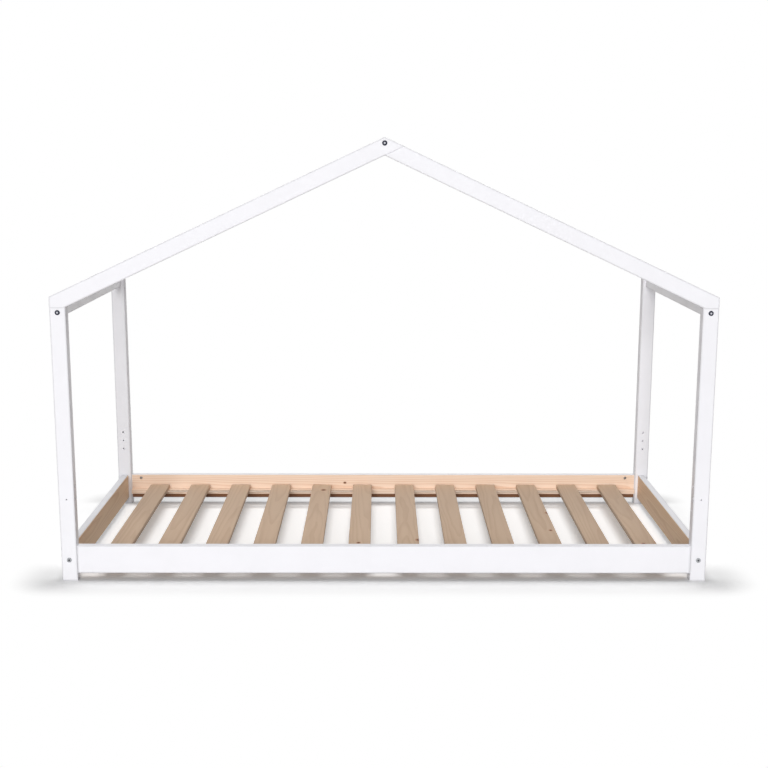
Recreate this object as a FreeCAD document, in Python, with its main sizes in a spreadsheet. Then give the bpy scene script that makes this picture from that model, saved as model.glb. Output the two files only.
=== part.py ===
import FreeCAD, Part
import os
import re
import Sketcher

# A low house-frame bed. Millimetres, +Z up, X along the bed, the front at -Y.
# The origin is on the floor under the middle of the bed.
#
# The two gabled sides are the same set of parts: the rear one is the front one turned half a turn
# about the upright through the origin, and the right end is the left end turned the same way. Only the
# front posts have the holes for a guard along the bed.

Vector = FreeCAD.Vector
Rotation = FreeCAD.Rotation
ALONG_X = Vector(1, 0, 0)
ALONG_Y = Vector(0, 1, 0)
UPRIGHT = Vector(0, 0, 1)

# Driving dimensions: everything else is worked out from these.
SIZES = {
    "overall_length": 1980,      # over the posts
    "overall_width": 980,        # over the posts
    "overall_height": 1335,      # floor to the point of the roof
    "roof_pitch": 25,            # degrees from level
    "post_face": 48,             # post section, seen from the front
    "post_depth": 36,            # post and rafter section, front to back
    "rafter_face": 48,           # rafter section, square to its run
    "edge_round": 3,             # eased edges of the posts and rafters
    "board_thick": 24,           # rails, eave beams and ridge beam
    "board_chamfer": 2,
    "rail_height": 88,
    "floor_gap": 22,             # under the rails
    "eave_beam_height": 60,
    "ridge_beam_height": 48,
    "mattress_recess": 37,       # rail top down to the top of the slats
    "batten_depth": 24,
    "batten_height": 16,
    "batten_gap": 2,             # batten end to post
    "slat_width": 70,
    "slat_thick": 15,
    "slat_chamfer": 1.5,
    "slat_side_gap": 83.5,       # last slat to side rail
    "roll_spacing": 156,         # between the two slats beside the middle gap
    "slat_end_gap": 4,           # slat end to rail
    "tape_width": 22,
    "tape_thick": 1.2,
    "tape_inset": 35,            # slat end to tape
    "tape_overrun": 15,          # tape end past the middle of the last slat
    "bolt_shank": 6,
    "bolt_head": 15,
    "bolt_head_thick": 3,
    "bolt_socket": 4,            # across the flats
    "bolt_socket_depth": 2,
    "bolt_clearance": 0.5,       # all round, in the wood
    "bolt_past_nut": 9,
    "nut_setback": 35,           # board end to the nut's middle
    "nut_width": 10,
    "nut_length": 14,
    "nut_clearance": 0.1,        # all round
    "dowel_width": 8,
    "dowel_length": 30,
    "dowel_clearance": 0.1,      # all round
    "hole_end_gap": 1,           # left at the end of a bolt, dowel or screw
    "rail_bolt_drop": 12.5,      # rail top down to the end bolt, and rail bottom up to the dowel
    "side_dowel_spread": 20,     # side rail bolt to the dowel above and below it
    "eave_bolt_rise": 13.5,      # eave beam bottom up to the bolt
    "eave_dowel_rise": 45,       # eave beam bottom up to the dowel
    "eave_dowel_in_rafter": 11,
    "ridge_bolt_drop": 12,       # ridge beam top down to the bolt
    "ridge_dowel_drop": 35,      # ridge beam top down to the dowel
    "seat_dowel_in_post": 10,
    "screw_shank": 4,
    "screw_head": 8,
    "screw_head_thick": 2.5,
    "screw_length": 40,          # under the head
    "screw_clearance": 0.1,      # all round
    "staple_crown": 10,
    "staple_height": 8,
    "staple_wire": 1.2,
    "long_guard_height": 257,    # middle hole for a guard along the bed
    "long_guard_spread": 37.5,   # middle hole to the dowel holes above and below
    "end_guard_height": 242,     # middle hole for a guard across the bed
    "end_guard_spread": 31,
    "guard_dowel_hole": 8,
    "guard_screw_hole": 6,
    "guard_hole_depth": 15,
    "outer_hole": 5,             # small hole outside, level with the long guard's middle hole
    "outer_hole_depth": 12,
}

# Counts of what repeats, and the flat sides of a bore or pin that the joints hide and of a bolt's head.
SLATS_IN_A_ROLL = 6
HIDDEN_FLATS = 8
HEAD_FLATS = 20

# Places that follow from the driving dimensions, as formulas in the sheet's own language.
PLACES = {
    "slope": "tan(roof_pitch * 1 deg)",
    "half_length": "overall_length / 2",
    "half_width": "overall_width / 2",
    "half_board": "board_thick / 2",
    "post_x": "half_length - post_face / 2",
    "post_y": "half_width - post_depth / 2",
    "inner_x": "half_length - post_face",
    "inner_y": "half_width - post_depth",
    "rafter_rise": "rafter_face / cos(roof_pitch * 1 deg)",
    "eave_top": "overall_height - half_length * slope",
    "apex_under": "overall_height - rafter_rise",
    "post_top": "apex_under - inner_x * slope",
    "seam_x": "rafter_rise / (2 * slope)",
    "seam_z": "overall_height - seam_x * slope",
    "rail_top": "floor_gap + rail_height",
    "rail_mid": "floor_gap + rail_height / 2",
    "rail_inner_y": "post_y - half_board",
    "rail_outer_y": "post_y + half_board",
    "side_inner_x": "post_x - half_board",
    "side_outer_x": "post_x + half_board",
    "slat_top": "rail_top - mattress_recess",
    "slat_low": "slat_top - slat_thick",
    "slat_end": "rail_inner_y - slat_end_gap",
    "first_slat": "roll_spacing / 2",
    "last_slat": "side_inner_x - slat_side_gap - slat_width / 2",
    "slat_pitch": f"(last_slat - first_slat) / {SLATS_IN_A_ROLL - 1}",
    "batten_low": "slat_low - batten_height",
    "batten_mid": "slat_low - batten_height / 2",
    "batten_front": "rail_inner_y - batten_depth",
    "batten_end": "inner_x - batten_gap",
    "tape_outer": "slat_end - tape_inset",
    "tape_inner": "tape_outer - tape_width",
    "tape_mid": "tape_outer - tape_width / 2",
    "tape_low": "slat_low - tape_thick",
    "leg_outer": "staple_crown / 2",
    "leg_inner": "leg_outer - staple_wire",
    "leg_rise": "staple_height - staple_wire",
    "leg_in_slat": "leg_rise - tape_thick",
    "eave_beam_low": "eave_top - eave_beam_height",
    "eave_bolt": "eave_beam_low + eave_bolt_rise",
    "eave_dowel": "eave_beam_low + eave_dowel_rise",
    "eave_dowel_y": "inner_y + eave_dowel_in_rafter - dowel_length / 2",
    "eave_dowel_in_beam": "dowel_length - eave_dowel_in_rafter",
    "ridge_top": "overall_height - half_board * slope",
    "ridge_low": "ridge_top - ridge_beam_height",
    "ridge_bolt": "ridge_top - ridge_bolt_drop",
    "ridge_dowel": "ridge_top - ridge_dowel_drop",
    "rail_bolt": "rail_top - rail_bolt_drop",
    "rail_dowel": "floor_gap + rail_bolt_drop",
    "side_dowel_high": "rail_mid + side_dowel_spread",
    "side_dowel_low": "rail_mid - side_dowel_spread",
    "seam_mid_x": "seam_x / 2",
    "seam_mid_z": "(apex_under + seam_z) / 2",
    "bolt_hole": "bolt_shank + 2 * bolt_clearance",
    "bolt_reach": "nut_setback + bolt_past_nut",
    "bolt_hole_depth": "bolt_reach + hole_end_gap",
    "nut_hole": "nut_width + 2 * nut_clearance",
    "nut_hole_depth": "(board_thick + nut_length) / 2 + nut_clearance",
    "nut_x": "inner_x - nut_setback",
    "nut_y": "inner_y - nut_setback",
    "dowel_hole": "dowel_width + 2 * dowel_clearance",
    "half_dowel_hole": "dowel_length / 2 + hole_end_gap",
    "seat_dowel_z": "post_top + dowel_length / 2 - seat_dowel_in_post",
    "seat_dowel_in_rafter": "dowel_length - seat_dowel_in_post",
    "screw_hole": "screw_shank + 2 * screw_clearance",
    "screw_in_rail": "screw_length - batten_depth",
    "long_guard_high": "long_guard_height + long_guard_spread",
    "long_guard_low": "long_guard_height - long_guard_spread",
    "end_guard_high": "end_guard_height + end_guard_spread",
    "end_guard_low": "end_guard_height - end_guard_spread",
}

doc = FreeCAD.newDocument("house_frame_bed")
sizes = doc.addObject("Spreadsheet::Sheet", "sizes")
cells = list(SIZES.items()) + [(alias, "=" + formula) for alias, formula in PLACES.items()]
for row, (alias, content) in enumerate(cells, start=1):
    sizes.set(f"A{row}", str(content))
    sizes.setAlias(f"A{row}", alias)
doc.recompute()

ALIASES = set(SIZES) | set(PLACES)
nodes = []


def value(formula):
    """What a formula comes to now."""
    return float(sizes.evalExpression(formula))


def bind(thing, path, formula):
    """Ties a property to a formula, with each alias in it led by the sheet's name."""
    led = re.sub(r"[a-z_]+", lambda word: "sizes." * (word.group() in ALIASES) + word.group(), formula)
    thing.setExpression(path, led)


def new_piece(label, turned=False):
    """A body that is written out under its label, turned half a turn if it belongs to the rear or right."""
    body = doc.addObject("PartDesign::Body", label)
    body.Label = label
    body.Placement = FreeCAD.Placement(Vector(), Rotation(UPRIGHT, 180 if turned else 0))
    nodes.append(body)
    return body


# Sketches. A sketch stands on one of the body's own origin planes, moved along that plane's axis to
# the coordinate "at". Its two directions are X and Y, X and Z, or Y and Z.

NORMAL_SIGN = {"XY_Plane": 1, "XZ_Plane": -1, "YZ_Plane": 1}


def stand_on(body, thing, role, at):
    plane = next(feature for feature in body.Origin.OriginFeatures if feature.Role == role)
    thing.AttachmentSupport = [(plane, "")]
    thing.MapMode = "FlatFace"
    bind(thing, "AttachmentOffset.Base.z", f"{NORMAL_SIGN[role]} * ({at})")


def sketch_on(body, role, at):
    sketch = body.newObject("Sketcher::SketchObject", body.Name + "_sketch")
    stand_on(body, sketch, role, at)
    return sketch


def hold(sketch, kind, where, formula):
    """A dimension of the sketch, tied to a formula."""
    index = sketch.addConstraint(Sketcher.Constraint(kind, *where, value(formula)))
    bind(sketch, f"Constraints[{index}]", formula)


def draw_outline(sketch, corners):
    """A closed outline of straight lines through corners, each a pair of formulas."""
    points = [Vector(value(u), value(v), 0) for u, v in corners]
    lines = [sketch.addGeometry(Part.LineSegment(start, end), False)
             for start, end in zip(points, points[1:] + points[:1])]
    for line, following in zip(lines, lines[1:] + lines[:1]):
        sketch.addConstraint(Sketcher.Constraint("Coincident", line, 2, following, 1))
    for line, (u, v) in zip(lines, corners):
        hold(sketch, "DistanceX", (-1, 1, line, 1), u)
        hold(sketch, "DistanceY", (-1, 1, line, 1), v)


def draw_circles(sketch, centres, width):
    for u, v in centres:
        middle = Vector(value(u), value(v), 0)
        circle = sketch.addGeometry(Part.Circle(middle, UPRIGHT, value(width) / 2), False)
        hold(sketch, "DistanceX", (-1, 1, circle, 3), u)
        hold(sketch, "DistanceY", (-1, 1, circle, 3), v)
        hold(sketch, "Diameter", (circle,), width)


def rectangle(left, low, right, high):
    return [(left, low), (right, low), (right, high), (left, high)]


# Features.

def pad(body, role, at, length, corners):
    """A prism on the outline, drawn out along the plane's normal."""
    sketch = sketch_on(body, role, at)
    draw_outline(sketch, corners)
    made = body.newObject("PartDesign::Pad", body.Name + "_pad")
    made.Profile = sketch
    bind(made, "Length", length)
    doc.recompute()


def ease_edges(body, along, amount, kind="Fillet"):
    """Rounds or chamfers the straight edges that run along a direction."""
    base = body.Tip
    made = body.newObject("PartDesign::" + kind, body.Name + "_eased")
    made.Base = (base, [f"Edge{number}" for number, edge in enumerate(base.Shape.Edges, start=1)
                        if edge.tangentAt(edge.FirstParameter).cross(along).Length < 1e-6])
    bind(made, "Radius" if kind == "Fillet" else "Size", amount)
    doc.recompute()


def cut(body, sketch, depth, reverse):
    """Sinks a sketch's outlines into the piece, against the sketch's normal unless reversed."""
    made = body.newObject("PartDesign::Pocket", body.Name + "_cut")
    made.Profile = sketch
    made.Reversed = reverse
    made.Refine = False
    bind(made, "Length", depth)


def drill(body, role, at, toward, width, depth, centres):
    """Round holes that start on a plane and go to the plus or minus side of its axis."""
    sketch = sketch_on(body, role, at)
    draw_circles(sketch, centres, width)
    cut(body, sketch, depth, reverse=toward == NORMAL_SIGN[role])


# Bores and pins that the joints hide have a few flat sides instead of a round one, and a bolt's head has
# more of them, which keeps the model light. Widths are across the flats. Eight flats have a corner on each
# axis, so that each pin fits its bore.

def prism(body, kind, role, at, toward, width, length, centre=("0", "0"), flats=HIDDEN_FLATS):
    """A pin or bore that starts on a plane and goes to the plus or minus side of its axis."""
    made = body.newObject("PartDesign::" + kind, body.Name + "_prism")
    backward = toward != NORMAL_SIGN[role]
    made.AttachmentOffset = FreeCAD.Placement(Vector(), Rotation(ALONG_X, 180 if backward else 0))
    stand_on(body, made, role, at)
    made.Polygon = flats
    made.Refine = False
    bind(made, "Circumradius", f"({width}) / 2 / cos({180 / flats} deg)")
    bind(made, "Height", length)
    bind(made, "AttachmentOffset.Base.x", centre[0])
    bind(made, "AttachmentOffset.Base.y", centre[1])
    return made


def bore(body, role, at, toward, width, depth, centres, flats=HIDDEN_FLATS):
    for centre in centres:
        prism(body, "SubtractivePrism", role, at, toward, width, depth, centre, flats)


def bore_through_seam(body):
    """The dowel's bore square to the slanting joint at the point of the roof, as far below it as above."""
    made = prism(body, "SubtractivePrism", "XY_Plane", "seam_mid_z - half_dowel_hole * cos(roof_pitch * 1 deg)",
                 1, "dowel_hole", "2 * half_dowel_hole",
                 ("seam_mid_x + half_dowel_hole * sin(roof_pitch * 1 deg)", "-post_y"))
    made.AttachmentOffset = FreeCAD.Placement(Vector(), Rotation(-ALONG_Y, value("roof_pitch")))
    bind(made, "AttachmentOffset.Rotation.Angle", "roof_pitch * 1 deg")


# Timber of the two gabled sides, modelled at the front. side is -1 on the left and 1 on the right.

def post(label, side, turned):
    body = new_piece(label, turned)
    middle = f"{side} * post_x"
    inner = f"{side} * inner_x"
    pad(body, "XY_Plane", "0", "post_top",
        rectangle(f"{side} * half_length", "-half_width", inner, "-inner_y"))
    ease_edges(body, UPRIGHT, "edge_round")
    bore(body, "XZ_Plane", "-half_width", 1, "bolt_hole", "post_depth",
         [(middle, "rail_mid"), (middle, "eave_bolt")])
    bore(body, "XZ_Plane", "-inner_y", -1, "dowel_hole", "half_dowel_hole",
         [(middle, "side_dowel_high"), (middle, "side_dowel_low")])
    bore(body, "YZ_Plane", inner, side, "bolt_hole", "post_face", [("-post_y", "rail_bolt")])
    bore(body, "YZ_Plane", inner, side, "dowel_hole", "half_dowel_hole", [("-post_y", "rail_dowel")])
    bore(body, "XY_Plane", "post_top", -1, "dowel_hole", "seat_dowel_in_post + hole_end_gap",
         [(middle, "-post_y")])
    drill_for_end_guard(body, middle)
    if not turned:
        drill_for_long_guard(body, middle, inner, side)


# Empty holes for guards that are sold apart: a screw between two dowels.

def drill_for_end_guard(body, middle):
    drill(body, "XZ_Plane", "-inner_y", -1, "guard_dowel_hole", "guard_hole_depth",
          [(middle, "end_guard_high"), (middle, "end_guard_low")])
    drill(body, "XZ_Plane", "-inner_y", -1, "guard_screw_hole", "guard_hole_depth",
          [(middle, "end_guard_height")])


def drill_for_long_guard(body, middle, inner, side):
    drill(body, "YZ_Plane", inner, side, "guard_dowel_hole", "guard_hole_depth",
          [("-post_y", "long_guard_high"), ("-post_y", "long_guard_low")])
    drill(body, "YZ_Plane", inner, side, "guard_screw_hole", "guard_hole_depth",
          [("-post_y", "long_guard_height")])
    drill(body, "XZ_Plane", "-half_width", 1, "outer_hole", "outer_hole_depth",
          [(middle, "long_guard_height")])


def rafter(label, side, corners, turned):
    """A sloping timber with a level seat on the post, its outer end flush with the post."""
    body = new_piece(label, turned)
    middle = f"{side} * post_x"
    pad(body, "XZ_Plane", "-inner_y", "post_depth", corners)
    ease_edges(body, Vector(1, 0, -side * value("slope")).normalize(), "edge_round")
    bore(body, "XY_Plane", "post_top", 1, "dowel_hole", "seat_dowel_in_rafter + hole_end_gap",
         [(middle, "-post_y")])
    bore(body, "XZ_Plane", "-inner_y", -1, "dowel_hole", "eave_dowel_in_rafter + hole_end_gap",
         [(middle, "eave_dowel")])
    bore_through_seam(body)
    return body


def through_rafter(label, turned):
    """The left rafter, which runs on over the middle to the far roof line."""
    body = rafter(label, -1, [("-half_length", "post_top"), ("-half_length", "eave_top"),
                              ("0", "overall_height"), ("seam_x", "seam_z"),
                              ("-inner_x", "post_top")], turned)
    bore(body, "XZ_Plane", "-half_width", 1, "bolt_hole", "post_depth", [("0", "ridge_bolt")])
    bore(body, "XZ_Plane", "-inner_y", -1, "dowel_hole", "half_dowel_hole", [("0", "ridge_dowel")])


def butting_rafter(label, turned):
    """The right rafter, which ends under the through rafter."""
    rafter(label, 1, [("half_length", "post_top"), ("half_length", "eave_top"),
                      ("seam_x", "seam_z"), ("0", "apex_under"), ("inner_x", "post_top")], turned)


def long_rail(label, turned):
    body = new_piece(label, turned)
    pad(body, "YZ_Plane", "-inner_x", "2 * inner_x",
        rectangle("-rail_outer_y", "floor_gap", "-rail_inner_y", "rail_top"))
    ease_edges(body, ALONG_X, "board_chamfer", "Chamfer")
    for side in (-1, 1):
        end = f"{side} * inner_x"
        bore(body, "YZ_Plane", end, -side, "bolt_hole", "bolt_hole_depth", [("-post_y", "rail_bolt")])
        bore(body, "YZ_Plane", end, -side, "dowel_hole", "half_dowel_hole", [("-post_y", "rail_dowel")])
    bore(body, "XZ_Plane", "-rail_inner_y", -1, "nut_hole", "nut_hole_depth",
         [("-nut_x", "rail_bolt"), ("nut_x", "rail_bolt")])
    bore(body, "XZ_Plane", "-rail_inner_y", -1, "screw_hole", "screw_in_rail + hole_end_gap",
         [(x, "batten_mid") for x in screws_along_batten()])


def batten(label, turned):
    """The ledger that carries the slats, screwed to the long rail."""
    body = new_piece(label, turned)
    pad(body, "YZ_Plane", "-batten_end", "2 * batten_end",
        rectangle("-rail_inner_y", "batten_low", "-batten_front", "slat_low"))
    bore(body, "XZ_Plane", "-batten_front", -1, "screw_hole", "batten_depth",
         [(x, "batten_mid") for x in screws_along_batten()])


def screws_along_batten():
    """A screw under every other slat, as formulas in X."""
    return [slat_middle(side, number) for side in (-1, 1) for number in range(1, SLATS_IN_A_ROLL, 2)]


# Timber that crosses between the two gabled sides.

def cross_member(label, outer, inner, low, high, bolt, dowels, turned=False):
    """A board on edge across the bed, with a bolt in each end and its barrel nuts let in from outside."""
    body = new_piece(label, turned)
    middle = f"({outer} + {inner}) / 2"
    pad(body, "XZ_Plane", "inner_y", "2 * inner_y", rectangle(outer, low, inner, high))
    ease_edges(body, ALONG_Y, "board_chamfer", "Chamfer")
    for side in (-1, 1):
        end = f"{side} * inner_y"
        bore(body, "XZ_Plane", end, -side, "bolt_hole", "bolt_hole_depth", [(middle, bolt)])
        for height, depth in dowels:
            bore(body, "XZ_Plane", end, -side, "dowel_hole", depth, [(middle, height)])
    bore(body, "YZ_Plane", outer, 1, "nut_hole", "nut_hole_depth", [("-nut_y", bolt), ("nut_y", bolt)])


def side_rail(label, turned):
    cross_member(label, "-side_outer_x", "-side_inner_x", "floor_gap", "rail_top", "rail_mid",
                 [("side_dowel_high", "half_dowel_hole"), ("side_dowel_low", "half_dowel_hole")], turned)


def eave_beam(label, turned):
    cross_member(label, "-side_outer_x", "-side_inner_x", "eave_beam_low", "eave_top", "eave_bolt",
                 [("eave_dowel", "eave_dowel_in_beam + hole_end_gap")], turned)


def ridge_beam(label):
    cross_member(label, "-half_board", "half_board", "ridge_low", "ridge_top", "ridge_bolt",
                 [("ridge_dowel", "half_dowel_hole")])


def slat(label, middle):
    body = new_piece(label)
    pad(body, "XZ_Plane", "slat_end", "2 * slat_end",
        rectangle(f"{middle} - slat_width / 2", "slat_low", f"{middle} + slat_width / 2", "slat_top"))
    ease_edges(body, ALONG_Y, "slat_chamfer", "Chamfer")
    slot_for_staples(body, "slat_low", "leg_in_slat", [(middle, "-tape_mid"), (middle, "tape_mid")])


def slat_middle(side, number):
    """Where a slat's middle lies: number 0 is beside the gap between the two rolls."""
    return f"{side} * (first_slat + {number} * slat_pitch)"


def tape(label, side, turned):
    """Webbing under one roll of slats, from its first slat to its last."""
    body = new_piece(label, turned)
    far = slat_middle(side, SLATS_IN_A_ROLL - 1) + f" + {side} * tape_overrun"
    near = slat_middle(side, 0) + f" - {side} * tape_overrun"
    start, end = (far, near) if side < 0 else (near, far)
    pad(body, "YZ_Plane", start, f"({end}) - ({start})",
        rectangle("-tape_outer", "tape_low", "-tape_inner", "slat_low"))
    slot_for_staples(body, "tape_low", "tape_thick",
                     [(slat_middle(side, number), "-tape_mid") for number in range(SLATS_IN_A_ROLL)])


def slot_for_staples(body, at, depth, spots):
    """The two slits that each staple's legs have made, going up from a level."""
    sketch = sketch_on(body, "XY_Plane", at)
    for x, y in spots:
        for side in (-1, 1):
            draw_outline(sketch, rectangle(f"{x} - staple_wire / 2", f"{y} + {side} * leg_inner",
                                           f"{x} + staple_wire / 2", f"{y} + {side} * leg_outer"))
    cut(body, sketch, depth, reverse=True)


# Fasteners. Each is modelled once, and its copies are placed in groups.

def new_pattern(name):
    """A body that is only copied."""
    return doc.addObject("PartDesign::Body", name)


def bolt_pattern(name, grip):
    """A connector bolt, its round head on top of the origin's level. grip is the post or rafter."""
    body = new_pattern(name)
    prism(body, "AdditivePrism", "XY_Plane", "0", 1, "bolt_head", "bolt_head_thick", flats=HEAD_FLATS)
    prism(body, "AdditivePrism", "XY_Plane", "0", -1, "bolt_shank", f"{grip} + bolt_reach")
    bore(body, "XY_Plane", "bolt_head_thick", -1, "bolt_socket", "bolt_socket_depth", [("0", "0")], flats=6)
    return body


def nut_pattern(name):
    """A barrel nut that lies along Y, with its cross hole along X."""
    body = new_pattern(name)
    prism(body, "AdditivePrism", "XZ_Plane", "-nut_length / 2", 1, "nut_width", "nut_length")
    bore(body, "YZ_Plane", "-nut_width", 1, "bolt_shank + 2 * nut_clearance", "2 * nut_width", [("0", "0")])
    return body


def staple_pattern(name):
    """A wide staple across the tape, legs up, with the origin where its crown meets the tape."""
    body = new_pattern(name)
    pad(body, "YZ_Plane", "-staple_wire / 2", "staple_wire",
        [("-leg_outer", "-staple_wire"), ("leg_outer", "-staple_wire"), ("leg_outer", "leg_rise"),
         ("leg_inner", "leg_rise"), ("leg_inner", "0"), ("-leg_inner", "0"), ("-leg_inner", "leg_rise"),
         ("-leg_outer", "leg_rise")])
    return body


def dowel_pattern(name):
    """A dowel that stands upright about the origin."""
    body = new_pattern(name)
    prism(body, "AdditivePrism", "XY_Plane", "-dowel_length / 2", 1, "dowel_width", "dowel_length")
    return body


def screw_pattern(name):
    """A wood screw, its flat head on top of the origin's level."""
    body = new_pattern(name)
    prism(body, "AdditivePrism", "XY_Plane", "-screw_length", 1, "screw_shank", "screw_length")
    prism(body, "AdditivePrism", "XY_Plane", "0", 1, "screw_head", "screw_head_thick")
    return body


def group(label, pattern, spots):
    """Copies of one fastener in one node. A spot is three formulas and a rotation."""
    copies = []
    for x, y, z, rotation in spots:
        copy = doc.addObject("App::Link", label + "_copy")
        copy.LinkedObject = pattern
        copy.Placement = FreeCAD.Placement(Vector(), rotation)
        for path, formula in (("x", x), ("y", y), ("z", z)):
            bind(copy, f"Placement.Base.{path}", formula)
        copies.append(copy)
    made = doc.addObject("Part::Compound", label)
    made.Label = label
    made.Links = copies
    nodes.append(made)
    return copies


# Rotations that point a fastener's top along an axis, at an end (-1 left) and a side (-1 front).

def out_at_end(end, side):
    return Rotation(ALONG_Y, 90 * end)


def out_at_side(end, side):
    return Rotation(ALONG_X, -90 * side)


def in_from_side(end, side):
    return Rotation(ALONG_X, 90 * side)


def unturned(end, side):
    return Rotation()


def quarter_turned(end, side):
    return Rotation(UPRIGHT, 90)


def square_to_seam(end, side):
    return Rotation(side * ALONG_Y, value("roof_pitch"))


def at_corners(x, y, z, rotation):
    """The same spot at all four corners of the bed."""
    return [(f"{end} * {x}", f"{side} * {y}", z, rotation(end, side))
            for side in (-1, 1) for end in (-1, 1)]


def at_gables(x, y, z, rotation):
    """The same spot on the front gable and, turned half a turn, on the rear one."""
    return [(f"{-side} * {x}", f"{side} * {y}", z, rotation(-side, side)) for side in (-1, 1)]


for label, side, turned in (("post_front_left", -1, False), ("post_front_right", 1, False),
                            ("post_rear_right", -1, True), ("post_rear_left", 1, True)):
    post(label, side, turned)
through_rafter("rafter_front_left", False)
butting_rafter("rafter_front_right", False)
through_rafter("rafter_rear_right", True)
butting_rafter("rafter_rear_left", True)
for where, turned in (("front", False), ("rear", True)):
    long_rail("rail_" + where, turned)
    batten("batten_" + where, turned)
for where, turned in (("left", False), ("right", True)):
    side_rail("side_rail_" + where, turned)
    eave_beam("eave_beam_" + where, turned)
ridge_beam("ridge_beam")
for number in range(SLATS_IN_A_ROLL):
    slat(f"slat_{SLATS_IN_A_ROLL - number:02d}", slat_middle(-1, number))
    slat(f"slat_{SLATS_IN_A_ROLL + 1 + number:02d}", slat_middle(1, number))
for label, side, turned in (("tape_front_left", -1, False), ("tape_front_right", 1, False),
                            ("tape_rear_right", -1, True), ("tape_rear_left", 1, True)):
    tape(label, side, turned)

gable_bolt = bolt_pattern("gable_bolt", "post_depth")
end_bolt = bolt_pattern("end_bolt", "post_face")
nut = nut_pattern("barrel_nut")
dowel = dowel_pattern("dowel")
group("foot_bolts", gable_bolt, at_corners("post_x", "half_width", "rail_mid", out_at_side))
group("eave_bolts", gable_bolt, at_corners("post_x", "half_width", "eave_bolt", out_at_side))
group("apex_bolts", gable_bolt, at_gables("0", "half_width", "ridge_bolt", out_at_side))
group("rail_bolts", end_bolt, at_corners("half_length", "post_y", "rail_bolt", out_at_end))
group("side_rail_nuts", nut, at_corners("post_x", "nut_y", "rail_mid", quarter_turned))
group("eave_nuts", nut, at_corners("post_x", "nut_y", "eave_bolt", quarter_turned))
group("ridge_nuts", nut, at_gables("0", "nut_y", "ridge_bolt", quarter_turned))
group("rail_nuts", nut, at_corners("nut_x", "post_y", "rail_bolt", unturned))
group("side_rail_dowels", dowel, at_corners("post_x", "inner_y", "side_dowel_high", out_at_side)
      + at_corners("post_x", "inner_y", "side_dowel_low", out_at_side))
group("rail_dowels", dowel, at_corners("inner_x", "post_y", "rail_dowel", out_at_end))
group("seat_dowels", dowel, at_corners("post_x", "post_y", "seat_dowel_z", unturned))
group("eave_dowels", dowel, at_corners("post_x", "eave_dowel_y", "eave_dowel", out_at_side))
group("ridge_dowels", dowel, at_gables("0", "inner_y", "ridge_dowel", out_at_side))
for copy in group("apex_dowels", dowel, at_gables("seam_mid_x", "post_y", "seam_mid_z", square_to_seam)):
    bind(copy, "Placement.Rotation.Angle", "roof_pitch * 1 deg")
group("batten_screws", screw_pattern("batten_screw"),
      [(x, f"{side} * batten_front", "batten_mid", in_from_side(1, side))
       for side in (-1, 1) for x in screws_along_batten()])
group("tape_staples", staple_pattern("tape_staple"),
      [(slat_middle(end, number), f"{side} * tape_mid", "tape_low", Rotation())
       for number in range(SLATS_IN_A_ROLL) for side in (-1, 1) for end in (-1, 1)])

doc.recompute()
for thing in doc.Objects:
    if {"Invalid", "Error"} & set(thing.State):
        raise RuntimeError(f"{thing.Label} failed: {thing.State}")
    if thing.TypeId in ("PartDesign::Pocket", "PartDesign::SubtractivePrism"):
        if not thing.Shape.Volume < thing.BaseFeature.Shape.Volume:
            raise RuntimeError(f"{thing.Label} takes nothing away")
for node in nodes:
    if node.Shape.isNull() or not node.Shape.isValid():
        raise RuntimeError(f"{node.Label} has no sound shape")
os.makedirs("parts", exist_ok=True)
for node in nodes:
    node.Shape.exportStep(f"parts/{node.Label}.step")
print(f"{len(nodes)} nodes, {sum(len(node.Shape.Solids) for node in nodes)} solids")
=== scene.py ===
import math
import bpy
import numpy as np
from mathutils import Euler, Matrix, Vector


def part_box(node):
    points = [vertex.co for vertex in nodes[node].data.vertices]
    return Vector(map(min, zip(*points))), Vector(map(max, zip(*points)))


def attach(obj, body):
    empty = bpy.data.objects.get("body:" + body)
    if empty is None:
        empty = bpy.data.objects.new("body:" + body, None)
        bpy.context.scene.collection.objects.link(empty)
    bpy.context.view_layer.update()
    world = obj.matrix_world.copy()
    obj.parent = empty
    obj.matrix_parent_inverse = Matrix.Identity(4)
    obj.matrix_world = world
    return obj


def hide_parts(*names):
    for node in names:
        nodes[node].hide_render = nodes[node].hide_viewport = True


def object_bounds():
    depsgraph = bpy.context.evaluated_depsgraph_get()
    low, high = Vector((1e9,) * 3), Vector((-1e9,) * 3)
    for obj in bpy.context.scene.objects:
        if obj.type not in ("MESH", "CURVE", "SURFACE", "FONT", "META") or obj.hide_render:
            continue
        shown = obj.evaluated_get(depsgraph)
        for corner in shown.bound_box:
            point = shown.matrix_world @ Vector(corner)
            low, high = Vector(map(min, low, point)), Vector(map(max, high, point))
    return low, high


# A low house-frame bed in white painted timber, with raw pine inside the rails and twelve raw slats.
# Places and outer sizes come from the frame. Metres, +Z up, X along the bed, the front at -Y.

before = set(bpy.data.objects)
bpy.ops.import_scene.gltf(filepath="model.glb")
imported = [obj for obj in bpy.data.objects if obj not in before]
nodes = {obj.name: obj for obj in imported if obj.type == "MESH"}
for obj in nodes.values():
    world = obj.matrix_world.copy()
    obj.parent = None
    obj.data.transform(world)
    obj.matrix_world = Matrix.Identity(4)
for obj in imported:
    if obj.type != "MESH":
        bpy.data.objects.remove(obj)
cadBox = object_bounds()
print("frame loaded,", len(nodes), "nodes")


def nodeBox(name):
    # A node's low and high corners, its middle and its half size.
    low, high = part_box(name)
    return low, high, (low + high) / 2, (high - low) / 2


def dress(name, material):
    nodes[name].data.materials.clear()
    nodes[name].data.materials.append(material)


# The camera stands where the photograph was taken from.

cameraView = {
    "position": (-0.0145, -4.5049, 1.2905),
    "down": 0.21153,          # radians below level
    "turn": -0.00344,         # radians to the left
    "roll": 0.00163,
    "focalPixels": 1361.4,
    "axisRow": 444.86,        # the row of the photograph that the lens points at
    "imageSide": 768,
    "sensorWidth": 36.0,
}


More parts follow.
